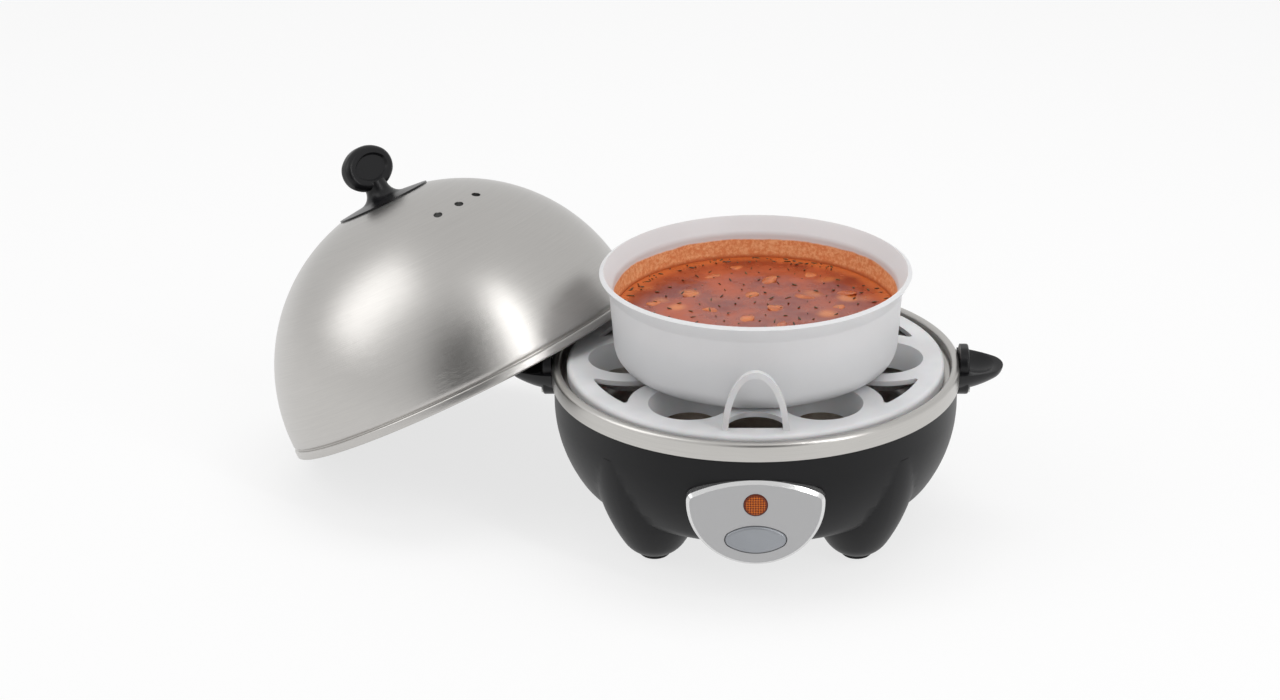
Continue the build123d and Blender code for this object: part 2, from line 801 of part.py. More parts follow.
def make_lid_knob():
    """Black knob: flared foot that covers the cap, slim neck and an upright dished paddle."""
    foot = lid_height
    paddle = foot + paddle_rise
    with BuildPart() as lid_knob:
        with BuildSketch(Plane.XZ.offset(-paddle_thickness / 2)):
            with Locations((0, paddle)):
                add(oval(paddle_half_width, paddle_half_height, paddle_end))
        extrude(amount=paddle_thickness)
        fillet(lid_knob.edges(), paddle_round)
        with BuildSketch(Plane.XZ):
            with BuildLine():
                edge = Polyline((0, foot), (knob_base_radius, foot), (knob_base_radius, foot + knob_edge))
                flare = FilletPolyline(
                    edge @ 1,
                    (neck_radius + knob_flare, foot + knob_flare_rise),
                    (neck_radius, foot + neck_height),
                    radius=knob_flare_turn,
                )
                Polyline(flare @ 1, (0, foot + neck_height), (0, foot))
            make_face()
        revolve(axis=Axis.Z)
        dish = oval(
            paddle_half_width - dish_margin, paddle_half_height - dish_margin, paddle_end - dish_margin
        )
        for face_side in (1, -1):
            with BuildSketch(Plane.XZ.offset(face_side * paddle_thickness / 2)):
                with Locations((0, paddle)):
                    add(dish)
            extrude(amount=-face_side * dish_depth, taper=dish_taper, mode=Mode.SUBTRACT)
        with BuildSketch(Plane.XY.offset(foot)):
            Circle(knob_screw_radius + fit_gap)
        extrude(amount=neck_height - 1, mode=Mode.SUBTRACT)
    return lid_knob


def make_knob_washer():
    """Washer between the knob screw and the inside of the cap."""
    with BuildPart() as knob_washer:
        with BuildSketch(Plane.XY.offset(lid_height - lid_sheet)):
            Circle(washer_radius)
            Circle(knob_screw_radius + fit_gap, mode=Mode.SUBTRACT)
        extrude(amount=-washer_thickness)
    return knob_washer


def make_knob_screw():
    """Screw that holds the knob from inside the lid."""
    seat = lid_height - lid_sheet - washer_thickness
    with BuildPart() as knob_screw:
        with BuildSketch(Plane.XY.offset(seat)):
            Circle(2.1 * knob_screw_radius)
        extrude(amount=-knob_screw_head)
        with BuildSketch(Plane.XY.offset(seat)):
            Circle(knob_screw_radius)
        extrude(amount=knob_screw_length)
    return knob_screw


# --- build and write every piece -------------------------------------------------------
base_pieces = {
    "base_shell": make_base_shell,
    "bottom_cover": make_bottom_cover,
    "cover_screws": make_cover_screws,
    "steam_pan": make_steam_pan,
    "heating_plate": make_heating_plate,
    "heating_element": make_heating_element,
    "plate_clamp_ring": make_clamp_ring,
    "thermostat": make_thermostat,
    "thermal_fuse": make_thermal_fuse,
    "terminal_block": make_terminal_block,
    "control_panel": make_control_panel,
    "indicator_lens": make_indicator_lens,
    "indicator_lamp": make_indicator_lamp,
    "power_button": make_power_button,
    "switch_body": make_switch_body,
    "handle_screws": make_handle_screws,
    "cord_gland": make_cord_gland,
    "egg_tray": make_egg_tray,
    "cooking_bowl": make_cooking_bowl,
    "soup": make_soup,
}
for name, make in base_pieces.items():
    save(make(), name)
for name, spot in zip(foot_names, foot_spots):
    save(make_foot_pad(spot), f"foot_pad_{name}")
save(make_handle(1), "right_handle")
save(make_handle(-1), "left_handle")

lid_pieces = {
    "lid_dome": make_lid_dome,
    "lid_knob": make_lid_knob,
    "knob_washer": make_knob_washer,
    "knob_screw": make_knob_screw,
}
for name, make in lid_pieces.items():
    piece = make()
    piece.part = lid_rest * piece.part
    save(piece, name)
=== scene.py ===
"""Looks of an electric egg cooker: steel lid, steam bowl of soup, egg tray and black base."""

from math import cos, pi, radians, sin, sqrt, tan

import bmesh
import bpy
from mathutils import Matrix, Vector, noise


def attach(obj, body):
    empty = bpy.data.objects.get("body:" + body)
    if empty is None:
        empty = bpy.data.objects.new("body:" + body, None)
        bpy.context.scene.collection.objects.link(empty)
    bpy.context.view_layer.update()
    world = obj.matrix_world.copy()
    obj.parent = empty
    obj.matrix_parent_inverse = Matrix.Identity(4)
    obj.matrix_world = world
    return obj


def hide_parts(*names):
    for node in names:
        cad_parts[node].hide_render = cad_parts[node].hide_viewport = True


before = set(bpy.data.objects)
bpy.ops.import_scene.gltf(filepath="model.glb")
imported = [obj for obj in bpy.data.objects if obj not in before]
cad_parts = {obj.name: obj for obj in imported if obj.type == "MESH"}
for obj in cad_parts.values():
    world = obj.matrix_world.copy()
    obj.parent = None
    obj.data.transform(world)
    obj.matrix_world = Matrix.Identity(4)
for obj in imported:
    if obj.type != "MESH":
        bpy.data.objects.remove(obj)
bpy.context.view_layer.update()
mm = 0.001

# --- sizes, in millimetres unless they say otherwise --------------------------------------
# Steel pan: the rolled rim, the groove and ledge inside it, and the floor round the plate
RIM_RADIUS, RIM_FOOT, RIM_TOP = 89.0, 65.0, 73.0
GROOVE_RADIUS, LEDGE_RADIUS, LEDGE_HEIGHT = 85.2, 77.0, 67.4
PAN_FLOOR_RADIUS, PAN_FLOOR, PLATE_RADIUS = 73.0, 41.0, 48.0
PAN_SHEET = 0.8

# Steam bowl: its outside and its wall
BOWL_FOOT_RADIUS, BOWL_NECK_RADIUS, BOWL_LIP_RADIUS = 61.0, 63.3, 67.3
BOWL_FOOT, BOWL_NECK, BOWL_TOP = 73.5, 107.1, 113.9
BOWL_WALL = 2.0

# Soup: its surface, how near the wall its swells fade, and how deep the beans lie
SOUP_TOP, SOUP_RADIUS = 96.5, 60.4
SOUP_EDGE_FADE, BEAN_DEPTH = 4.0, 1.25

# The stain that the soup has left on the bowl's inside, up from its surface
STAIN_RADIUS, STAIN_HEIGHT = 61.9, 6.2

# Where the lid stands: the middle of its open side, and how it is turned, in degrees
LID_SPOT = Vector((-131.9, 55.8, 40.62))
LID_HEADING, LID_LEAN, LID_TURN = 153, 28.4, -104.5
LID_PLACE = (
    Matrix.Translation(LID_SPOT * mm)
    @ Matrix.Rotation(radians(LID_HEADING), 4, "Z")
    @ Matrix.Rotation(radians(LID_LEAN), 4, "Y")
    @ Matrix.Rotation(radians(LID_TURN), 4, "Z")
)

# Lid, in its own axes: one arc for the wall, a round bead at the edge and a flat cap
LID_ARC_RADIUS, LID_ARC_X, LID_ARC_Z = 84.44, 1.16, 5.6
LID_EDGE, LID_TOP, LID_CAP_RADIUS, LID_SHEET = 85.2, 87.3, 21.0, 0.8
BEAD_ROUND, BEAD_TOP = 0.8, 3.2

# Lid: how far under its arc the painted shade on the inside starts, and the height by the edge
# that is left unshaded
INSIDE_FROM, INSIDE_TO, UNSHADED_EDGE = 0.5, 0.3, 8.0

# Vents: three holes side by side, square to the wall (angle in degrees)
VENT_STEP, VENT_REACH, VENT_HEIGHT = 13.75, 50.0, 74.3
VENT_LEAN_OUT, VENT_LEAN_UP = 0.62, 0.78
VENT_RADIUS, VENT_DEPTH = 2.0, 16.0

# Panel: where its flat face stands, and the lens's middle, grid and dark edge
PANEL_FACE, LENS_HEIGHT, LENS_GRID = 89.9, 46.0, 2.1
LENS_EDGE_FROM, LENS_EDGE_TO = 3.6, 4.6

# Scattered pieces: a full turn in radians, and steps round a bed
FULL_TURN = 6.283
BED_STEPS = 48

# Studio: how white the floor looks, and the room that the steel reflects
FLOOR_SIDE, FLOOR_DROP = 20.0, 0.0005  # metres
FLOOR_WHITE, FLOOR_GRAIN = 0.74, 0.02
GAP_RIGHT, GAP_INNER, GAP_OUTER, GAP_DARK = 0.10, 0.20, 0.46, 0.94
GAP_FADE_FROM, GAP_FADE_TO = 0.62, 0.92
ROOM_LEVEL, PLAIN_LEVEL = 0.80, 0.50

# Camera: the image's size, the lens's length and the point straight ahead, in pixels
IMAGE_WIDTH, IMAGE_HEIGHT, LENS_PIXELS = 1280, 700, 2751
AXIS_X, AXIS_Y = 755.7, 359.7

# Camera: its sensor, its tilt in radians, then how far it stands and what it faces, in metres
SENSOR_WIDTH = 36.0
CAMERA_TILT, CAMERA_DISTANCE, CAMERA_AIM = radians(23.42), 1.2, Vector((0, 0, 0.072))


# --- shader values and finishes -----------------------------------------------------------
class Value:
    """One output of a node. Arithmetic on it adds Math nodes."""

    def __init__(self, graph, socket):
        self.graph = graph
        self.socket = socket

    def __add__(self, other):
        return self.graph.math("ADD", self, other)

    __radd__ = __add__

    def __sub__(self, other):
        return self.graph.math("SUBTRACT", self, other)

    def __rsub__(self, other):
        return self.graph.math("SUBTRACT", other, self)

    def __mul__(self, other):
        return self.graph.math("MULTIPLY", self, other)

    __rmul__ = __mul__

    def __truediv__(self, other):
        return self.graph.math("DIVIDE", self, other)

    def __gt__(self, other):
        return self.graph.math("GREATER_THAN", self, other)

    def __lt__(self, other):
        return self.graph.math("LESS_THAN", self, other)

    def rise(self, low, high):
        """0 below low, 1 above high, smooth in between."""
        return self.graph.node(
            "ShaderNodeMapRange",
            {"interpolation_type": "SMOOTHSTEP"},
            {"Value": self, "From Min": low, "From Max": high},
        )


class Graph:
    """The nodes of a finish, of the sky or of a scatter."""

    def __init__(self, tree):
        self.tree = tree

    def node(self, kind, settings, sockets, output=0):
        """Add any node: its settings first, then a value or a link for each socket.

        Gives back one output, or a list where output is a tuple.
        """
        made = self.tree.nodes.new(kind)
        for setting, value in settings.items():
            setattr(made, setting, value)
        for socket, value in sockets.items():
            if isinstance(value, Value):
                self.tree.links.new(value.socket, made.inputs[socket])
            else:
                made.inputs[socket].default_value = value
        if isinstance(output, tuple):
            return [Value(self, made.outputs[each]) for each in output]
        return Value(self, made.outputs[output])

    def math(self, operation, *terms):
        return self.node("ShaderNodeMath", {"operation": operation}, dict(enumerate(terms)))

    def noise(self, place, scale, detail=2.0, roughness=0.5):
        return self.node(
            "ShaderNodeTexNoise",
            {},
            {"Vector": place, "Scale": scale, "Detail": detail, "Roughness": roughness},
        )

    def mix(self, factor, first, second):
        """A colour between two colours."""
        ends = [(*c, 1) if isinstance(c, tuple) and len(c) == 3 else c for c in (first, second)]
        return self.node(
            "ShaderNodeMix", {"data_type": "RGBA"}, {0: factor, 6: ends[0], 7: ends[1]}, 2
        )

    def parts(self, place):
        """The x, y and z of a vector."""
        return self.node("ShaderNodeSeparateXYZ", {}, {0: place}, (0, 1, 2))

    def join(self, x, y, z):
        return self.node("ShaderNodeCombineXYZ", {}, {0: x, 1: y, 2: z})

    def reach(self, x, y):
        """Distance from the axis."""
        flat = self.join(x, y, 0.0)
        return self.node("ShaderNodeVectorMath", {"operation": "LENGTH"}, {0: flat}, 1)

    def rays(self):
        """1 for rays from the camera, for reflected rays and for rays through a surface."""
        kinds = ("Is Camera Ray", "Is Glossy Ray", "Is Transmission Ray")
        return self.node("ShaderNodeLightPath", {}, {}, kinds)


class Finish(Graph):
    """A material made of nodes. Keyword values go straight on the surface shader."""

    def __init__(self, name, **plain):
        self.material = bpy.data.materials.new(name)
        self.material.use_nodes = True
        super().__init__(self.material.node_tree)
        self.surface = self.tree.nodes["Principled BSDF"]
        for keyword, value in plain.items():
            socket = keyword.replace("_", " ").title().replace("Ior", "IOR")
            self.surface.inputs[socket].default_value = value
        self.place = self.node("ShaderNodeTexCoord", {}, {}, "Object")

    def feed(self, socket, value):
        self.tree.links.new(value.socket, self.surface.inputs[socket])

    def bump(self, height, distance):
        """Raise the surface by height times distance, in metres."""
        sockets = {"Height": height, "Distance": distance, "Strength": 1.0}
        self.feed("Normal", self.node("ShaderNodeBump", {}, sockets))


def brushed_steel(name, colour, lines, depth=0.00002, centre=None):
    """Spun steel with fine rings round its own axis.

    The lid gives centre, where its axis stands, and gets painted shade: its inside is coloured
    near black above a band by the edge.
    """
    steel = Finish(name, metallic=1.0, roughness=0.3)
    place = steel.place
    if centre is not None:
        place = steel.node(
            "ShaderNodeMapping",
            {"vector_type": "TEXTURE"},
            {"Vector": place, "Location": centre.to_translation(), "Rotation": centre.to_euler()},
        )
    facing = steel.node("ShaderNodeVectorMath", {"operation": "NORMALIZE"}, {0: place})
    x, y, z = steel.parts(facing)
    rings = steel.noise(steel.join(x * 2.5, y * 2.5, z * lines), 1.0, 4.0, 0.75)
    fine = steel.noise(steel.join(x * 9, y * 9, z * lines * 3.1), 1.0, 2.0, 0.6)
    clouds = steel.noise(place, 22.0, 3.0, 0.55)
    shade = (rings * 0.6 + fine * 0.4).rise(0.25, 0.75)
    dark = tuple(0.84 * part for part in colour)
    tone = steel.mix(shade * 0.7 + clouds * 0.3, dark, colour)
    # Painted shade: on the lid, the inside under its arc is mixed to a near-black colour, except
    # for the band by the edge
    if centre is not None:
        across, along, up = steel.parts(place)
        from_arc = steel.reach(steel.reach(across, along) - LID_ARC_X * mm, up - LID_ARC_Z * mm)
        outer = from_arc.rise(
            (LID_ARC_RADIUS - INSIDE_FROM) * mm, (LID_ARC_RADIUS - INSIDE_TO) * mm
        )
        inner = (1 - outer) * (up > UNSHADED_EDGE * mm)
        tone = steel.mix(inner, tone, (0.09, 0.09, 0.088))
    steel.feed("Base Color", tone)
    steel.feed("Roughness", 0.22 + 0.10 * fine + 0.08 * clouds)
    steel.bump(rings * 0.7 + fine * 0.5, depth)
    return steel.material


def moulded_plastic(name, colour, roughness, grain=1400.0, **plain):
    """Moulded plastic with a fine grain and faint flow marks."""
    plastic = Finish(name, **plain)
    grains = plastic.noise(plastic.place, grain, 2.0, 0.6)
    flow = plastic.noise(plastic.place, 26.0, 3.0, 0.6)
    darker = tuple(0.86 * part for part in colour)
    plastic.feed("Base Color", plastic.mix(flow.rise(0.3, 0.7), darker, colour))
    plastic.feed("Roughness", roughness + 0.10 * flow + 0.06 * grains)
    plastic.bump(grains + flow * 2, 0.00001)
    return plastic.material


def plain_metal(name, colour, roughness, blotch):
    """Bright or dull metal with uneven tone, for the parts under the pan."""
    metal = Finish(name, metallic=1.0)
    clouds = metal.noise(metal.place, 60.0, 4.0, 0.6)
    grains = metal.noise(metal.place, 900.0, 2.0, 0.6)
    metal.feed("Base Color", metal.mix(clouds.rise(0.3, 0.7), blotch, colour))
    metal.feed("Roughness", roughness + 0.15 * grains)
    metal.bump(grains, 0.00001)
    return metal.material


def soft_rubber(name, colour):
    """Dull rubber with a little dust."""
    rubber = Finish(name, specular_ior_level=0.3)
    dust = rubber.noise(rubber.place, 300.0, 4.0, 0.7)
    dusty = tuple(2.2 * part for part in colour)
    rubber.feed("Base Color", rubber.mix(dust.rise(0.45, 0.8), colour, dusty))
    rubber.feed("Roughness", 0.75 + 0.15 * dust)
    rubber.bump(dust, 0.00003)
    return rubber.material


def orange_glass():
    """Tinted glass of the lamp behind the lens."""
    glass = Finish("lamp_glass", coat_weight=1.0)
    glow = glass.noise(glass.place, 500.0)
    glass.feed("Base Color", glass.mix(glow, (0.5, 0.12, 0.03), (0.8, 0.3, 0.1)))
    glass.feed("Roughness", 0.08 + 0.1 * glow)
    return glass.material


def bowl_plastic():
    """White plastic that lets light in, with a grainy orange band that the soup has left."""
    plastic = Finish(
        "white_bowl", subsurface_weight=0.3, subsurface_scale=0.004, specular_ior_level=0.35
    )
    plastic.surface.inputs["Subsurface Radius"].default_value = (1.0, 0.95, 0.9)
    soup_height = SOUP_TOP * mm
    stain_top = soup_height + STAIN_HEIGHT * mm
    x, y, z = plastic.parts(plastic.place)
    wobble = plastic.noise(plastic.join(x * 45, y * 45, z * 60), 1.0, 4.0, 0.6)
    specks = plastic.noise(plastic.place, 620.0, 3.0, 0.7)
    level = z - wobble * 0.0032 - specks * 0.0006
    inside = (plastic.reach(x, y) < STAIN_RADIUS * mm) * (z > soup_height - 0.002)
    stain = inside * (1 - level.rise(stain_top, stain_top + 0.0008))
    foam = plastic.mix(specks.rise(0.38, 0.66), (0.78, 0.29, 0.11), (0.95, 0.52, 0.26))
    foam = plastic.mix((z - soup_height).rise(0.0, 0.0022), (0.56, 0.13, 0.035), foam)
    plastic.feed("Base Color", plastic.mix(stain, (0.72, 0.72, 0.73), foam))
    plastic.feed("Roughness", 0.40 + 0.10 * specks)
    plastic.bump(specks * (0.3 + 2.0 * stain) + wobble * 0.4, 0.00006)
    return plastic.material


def soup_broth():
    """Red-brown broth with pale pieces under its surface, orange by the wall, with a wet sheen."""
    broth = Finish("soup_broth", coat_roughness=0.06, specular_ior_level=0.4)
    x, y, _ = broth.parts(broth.place)
    clouds = broth.noise(broth.place, 42.0, 4.0, 0.6)
    small = broth.noise(broth.place, 240.0, 4.0, 0.65)
    broth_tone = broth.mix(clouds.rise(0.34, 0.70), (0.205, 0.022, 0.007), (0.42, 0.075, 0.020))
    wander = broth.noise(broth.place, 30.0, 2.0, 0.5)
    bits = broth.node(
        "ShaderNodeTexVoronoi",
        {"feature": "F1"},
        {"Vector": broth.join(x + wander * 0.012, y * 1.1, 0.0), "Scale": 62.0, "Randomness": 1.0},
    )
    picked = broth.noise(broth.place, 17.0, 2.0, 0.4)
    sunken = (1 - (bits + clouds * 0.25).rise(0.22, 0.52)) * picked.rise(0.36, 0.50)
    tone = broth.mix(sunken * 0.85, broth_tone, (0.66, 0.21, 0.055))
    edge = (broth.reach(x, y) + clouds * 0.006).rise(0.0560, 0.0635)
    tone = broth.mix(edge, tone, (0.60, 0.15, 0.035))
    broth.feed("Base Color", broth.mix(small.rise(0.64, 0.72) * 0.45, tone, (0.10, 0.016, 0.006)))
    broth.feed("Roughness", 0.20 + 0.25 * clouds.rise(0.4, 0.7))
    broth.feed("Coat Weight", 0.15 + 0.35 * clouds)
    broth.bump(clouds * 0.6 + sunken * 0.5 + small * 0.15, 0.0004)
    return broth.material


def soup_lump():
    """Soft orange-brown pieces that lie just under the surface."""
    lump = Finish("soup_bean", subsurface_weight=0.2, subsurface_scale=0.003, coat_weight=0.2)
    clouds = lump.noise(lump.place, 160.0, 3.0, 0.6)
    tone = lump.mix(clouds.rise(0.35, 0.7), (0.42, 0.09, 0.024), (0.60, 0.18, 0.05))
    lump.feed("Base Color", tone)
    lump.feed("Roughness", 0.2 + 0.2 * clouds)
    lump.bump(clouds, 0.0006)
    return lump.material


def soup_herb():
    """Dark wet flakes."""
    herb = Finish("soup_herb", coat_weight=0.3)
    clouds = herb.noise(herb.place, 300.0, 2.0, 0.5)
    tone = herb.mix(clouds.rise(0.35, 0.65), (0.035, 0.022, 0.008), (0.11, 0.07, 0.015))
    herb.feed("Base Color", tone)
    herb.feed("Roughness", 0.35 + 0.2 * clouds)
    return herb.material


def silver_panel():
    """Satin silver face with a polished bevel."""
    panel = Finish("silver_panel", metallic=0.85)
    _, y, _ = panel.parts(panel.place)
    face = 1 - (y + PANEL_FACE * mm).rise(0.0, 0.0001)
    grains = panel.noise(panel.place, 1600.0, 2.0, 0.6)
    panel.feed("Base Color", panel.mix(face, (0.74, 0.74, 0.74), (0.47, 0.47, 0.475)))
    panel.feed("Roughness", 0.10 + face * 0.34 + grains * 0.04)
    panel.bump(face * grains, 0.00001)
    return panel.material


def orange_lens():
    """Orange lens with a diamond grid pressed into it and a darker edge."""
    lens = Finish("orange_lens", coat_weight=0.15, coat_roughness=0.08, specular_ior_level=0.2)
    x, _, z = lens.parts(lens.place)
    step = 2 * pi / (LENS_GRID * mm)
    across = lens.math("SINE", (x + z) * step)
    down = lens.math("SINE", (x - z) * step)
    grid = (across * down * 0.5 + 0.5).rise(0.2, 0.8)
    edge = lens.reach(x, z - LENS_HEIGHT * mm).rise(LENS_EDGE_FROM * mm, LENS_EDGE_TO * mm)
    body = lens.mix(grid, (0.17, 0.020, 0.001), (0.66, 0.15, 0.006))
    lens.feed("Base Color", lens.mix(edge, body, (0.14, 0.02, 0.004)))
    lens.feed("Roughness", 0.18 + 0.2 * grid)
    lens.bump(grid * (1 - edge), 0.00025)
    return lens.material


# --- mesh helpers -------------------------------------------------------------------------
def add_object(name, data):
    """A new object in the scene."""
    made = bpy.data.objects.new(name, data)
    bpy.context.scene.collection.objects.link(made)
    return made


def smooth(piece, angle):
    """Smooth faces, with an edge kept sharp where it turns by more than angle."""
    piece.data.polygons.foreach_set("use_smooth", [True] * len(piece.data.polygons))
    piece.data.set_sharp_from_angle(angle=radians(angle))


def evaluated_mesh(piece):
    """The piece's mesh with its modifiers run."""
    bpy.context.view_layer.update()
    ready = piece.evaluated_get(bpy.context.evaluated_depsgraph_get())
    return bpy.data.meshes.new_from_object(ready)


def mesh_piece(name, points, faces, material):
    """A piece with its place in its mesh, smooth where it is round."""
    mesh = bpy.data.meshes.new(name)
    mesh.from_pydata(points, [], faces)
    shape = bmesh.new()
    shape.from_mesh(mesh)
    bmesh.ops.recalc_face_normals(shape, faces=shape.faces)
    shape.to_mesh(mesh)
    shape.free()
    mesh.materials.append(material)
    piece = add_object(name, mesh)
    smooth(piece, 32)
    return piece


def line(*corners):
    """Straight stretches through corners (r, z)."""
    return [Vector(corner) for corner in corners]


def rounded(corners, steps=6):
    """A line through corners (r, z, radius), each turned with an arc."""
    path = []
    for k, (r, z, radius) in enumerate(corners):
        here = Vector((r, z))
        if radius == 0 or k in (0, len(corners) - 1):
            path.append(here)
            continue
        before = (Vector(corners[k - 1][:2]) - here).normalized()
        after = (Vector(corners[k + 1][:2]) - here).normalized()
        half = before.angle(after) / 2
        middle = here + (before + after).normalized() * (radius / sin(half))
        start = here + before * (radius / tan(half)) - middle
        sweep = start.angle_signed(here + after * (radius / tan(half)) - middle)
        for step in range(steps + 1):
            turn = -sweep * step / steps
            path.append(middle + Matrix.Rotation(turn, 2) @ start)
    return path


def arc(centre, radius, first, last, steps):
    """Points on an arc, angles in degrees."""
    turns = [radians(first + (last - first) * k / steps) for k in range(steps + 1)]
    return [Vector((centre[0] + radius * cos(t), centre[1] + radius * sin(t))) for t in turns]


def walled(path, wall):
    """A closed outline: the path, and back along its left side at the wall's thickness."""
    ways = [(after - here).normalized() for here, after in zip(path, path[1:])]
    inner = []
    for here, before, after in zip(path, ways[:1] + ways, ways + ways[-1:]):
        along = (before + after).normalized()
        side = Vector((-along.y, along.x))
        lean = side.dot(Vector((-after.y, after.x)))
        inner.append(here + side * (wall / max(lean, 0.5)))
    return path + inner[::-1]


def lathe(name, outline, material, steps=192, place=Matrix.Identity(4)):
    """Turn an outline in millimetres round Z. Points on the axis become poles."""
    points, rings = [], []
    for r, z in outline:
        if abs(r) < 1e-6:
            rings.append([len(points)] * steps)
            points.append(place @ (Vector((0, 0, z)) * mm))
        else:
            rings.append(list(range(len(points), len(points) + steps)))
            for k in range(steps):
                turn = 2 * pi * k / steps
                points.append(place @ (Vector((r * cos(turn), r * sin(turn), z)) * mm))
    pairs = list(zip(rings, rings[1:]))
    if rings[0][0] != rings[0][1]:
        pairs.append((rings[-1], rings[0]))
    faces = []
    for low, high in pairs:
        for k in range(steps):
            n = (k + 1) % steps
            face = list(dict.fromkeys((low[k], low[n], high[n], high[k])))
            if len(face) > 2:
                faces.append(face)
    return mesh_piece(name, points, faces, material)


def dressed(node, name, material, angle):
    """A merged copy of a CAD node with smooth faces."""
    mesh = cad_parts[node].data.copy()
    shape = bmesh.new()
    shape.from_mesh(mesh)
    bmesh.ops.remove_doubles(shape, verts=shape.verts, dist=2e-6)
    shape.to_mesh(mesh)
    shape.free()
    mesh.name = name
    for layer in list(mesh.attributes):
        if layer.name in ("custom_normal", "sharp_face", "sharp_edge"):
            mesh.attributes.remove(layer)
    mesh.materials.clear()
    mesh.materials.append(material)
    piece = add_object(name, mesh)
    smooth(piece, angle)
    return piece


def stands_for(piece, body, slot, *nodes):
    """The piece moves with a body and stands for its CAD nodes."""
    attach(piece, body)
    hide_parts(*nodes)


# --- scattering with Geometry Nodes -------------------------------------------------------
SCATTER_INPUTS = {
    "Geometry": "NodeSocketGeometry",
    "Lump": "NodeSocketObject",
    "Spacing": "NodeSocketFloat",
    "Density": "NodeSocketFloat",
    "Seed": "NodeSocketInt",
    "Smallest": "NodeSocketVector",
    "Largest": "NodeSocketVector",
    "Tip": "NodeSocketFloat",
    "Material": "NodeSocketMaterial",
}


def scatter_tree(name):
    """Lumps spread over a surface, turned and sized at random."""
    tree = bpy.data.node_groups.new(name, "GeometryNodeTree")
    tree.interface.new_socket("Geometry", in_out="OUTPUT", socket_type="NodeSocketGeometry")
    for label, kind in SCATTER_INPUTS.items():
        tree.interface.new_socket(label, in_out="INPUT", socket_type=kind)
    graph = Graph(tree)
    surface, lump, spacing, density, seed, smallest, largest, tip, material = graph.node(
        "NodeGroupInput", {}, {}, tuple(SCATTER_INPUTS)
    )
    points = graph.node(
        "GeometryNodeDistributePointsOnFaces",
        {"distribute_method": "POISSON"},
        {"Mesh": surface, "Distance Min": spacing, "Density Max": density, "Seed": seed},
        "Points",
    )
    form = graph.node("GeometryNodeObjectInfo", {}, {"Object": lump}, "Geometry")
    vector = {"data_type": "FLOAT_VECTOR"}
    size = graph.node("FunctionNodeRandomValue", vector, {0: smallest, 1: largest, "Seed": seed})
    most = graph.join(tip, tip, FULL_TURN)
    turn = graph.node("FunctionNodeRandomValue", vector, {0: (0, 0, 0), 1: most, "Seed": seed})
    placed = graph.node(
        "GeometryNodeInstanceOnPoints",
        {},
        {"Points": points, "Instance": form, "Rotation": turn, "Scale": size},
    )
    real = graph.node("GeometryNodeRealizeInstances", {}, {0: placed})
    coated = graph.node("GeometryNodeSetMaterial", {}, {"Geometry": real, "Material": material})
    graph.node("NodeGroupOutput", {}, {0: coated}, ())
    return tree


def scattered(name, tree, bed, **values):
    """Run a scatter tree over a bed and keep the result as a plain mesh."""
    holder = add_object(name, bed.data)
    modifier = holder.modifiers.new("spread", "NODES")
    modifier.node_group = tree
    for item in tree.interface.items_tree:
        if item.item_type == "SOCKET" and item.in_out == "INPUT" and item.name in values:
            modifier[item.identifier] = values[item.name]
    holder.update_tag()
    mesh = evaluated_mesh(holder)
    bpy.data.objects.remove(holder)
    mesh.name = name
    piece = add_object(name, mesh)
    smooth(piece, 60)
    return piece


def lump_shape(name, roundness, seed):
    """One bean-like lump or thin flake, one unit across."""
    shape = bmesh.new()
    bmesh.ops.create_icosphere(shape, subdivisions=roundness, radius=0.5)
    for vert in shape.verts:
        push = noise.noise(vert.co * 2.6 + Vector((seed, 0, 0)))
        vert.co *= 1 + 0.28 * push
    mesh = bpy.data.meshes.new(name)
    shape.to_mesh(mesh)
    shape.free()
    return bpy.data.objects.new(name, mesh)


def flat_ring(name, inner, outer, first, last, height):
    """A flat ring, or part of one, that the scatter spreads its pieces over. Angles in degrees."""
    edge = arc((0, 0), outer, first, last, BED_STEPS) + arc((0, 0), inner, last, first, BED_STEPS)
    points = [Vector((p.x, p.y, height)) * mm for p in edge]
    far = 2 * BED_STEPS
    faces = [(k, k + 1, far - k, far + 1 - k) for k in range(BED_STEPS)]
    return mesh_piece(name, points, faces, black_plastic)


# --- the finishes -------------------------------------------------------------------------
black_plastic = moulded_plastic(
    "black_plastic", (0.0085, 0.0085, 0.0095), 0.32, specular_ior_level=0.22
)
black_knob = moulded_plastic("black_knob", (0.007, 0.007, 0.008), 0.24, specular_ior_level=0.30)
cover_plastic = moulded_plastic("cover_plastic", (0.03, 0.03, 0.032), 0.5)
tray_plastic = moulded_plastic(
    "white_tray", (0.74, 0.74, 0.75), 0.34, subsurface_weight=0.12, subsurface_scale=0.003
)
button_plastic = moulded_plastic("grey_button", (0.34, 0.355, 0.38), 0.32, metallic=0.5)
dark_plastic = moulded_plastic("dark_plastic", (0.05, 0.05, 0.05), 0.45)
pale_plastic = moulded_plastic("pale_plastic", (0.6, 0.6, 0.57), 0.45)
ceramic = moulded_plastic("thermostat_ceramic", (0.66, 0.62, 0.55), 0.6, grain=500.0)
lid_steel = brushed_steel("lid_steel", (0.58, 0.565, 0.545), 240.0, 0.00006, LID_PLACE)
rim_steel = brushed_steel("rim_steel", (0.60, 0.585, 0.56), 420.0)
cast_plate = plain_metal("plate_aluminium", (0.42, 0.36, 0.30), 0.42, (0.24, 0.18, 0.14))
screw_steel = plain_metal("screw_steel", (0.6, 0.6, 0.58), 0.28, (0.45, 0.45, 0.42))
element_steel = plain_metal("element_steel", (0.3, 0.28, 0.27), 0.45, (0.18, 0.15, 0.13))
foot_rubber = soft_rubber("foot_rubber", (0.018, 0.018, 0.018))
gland_rubber = soft_rubber("gland_rubber", (0.02, 0.02, 0.02))
sleeve = moulded_plastic("fuse_sleeve", (0.7, 0.66, 0.56), 0.8, grain=2600.0)
lamp_glass = orange_glass()
white_bowl = bowl_plastic()

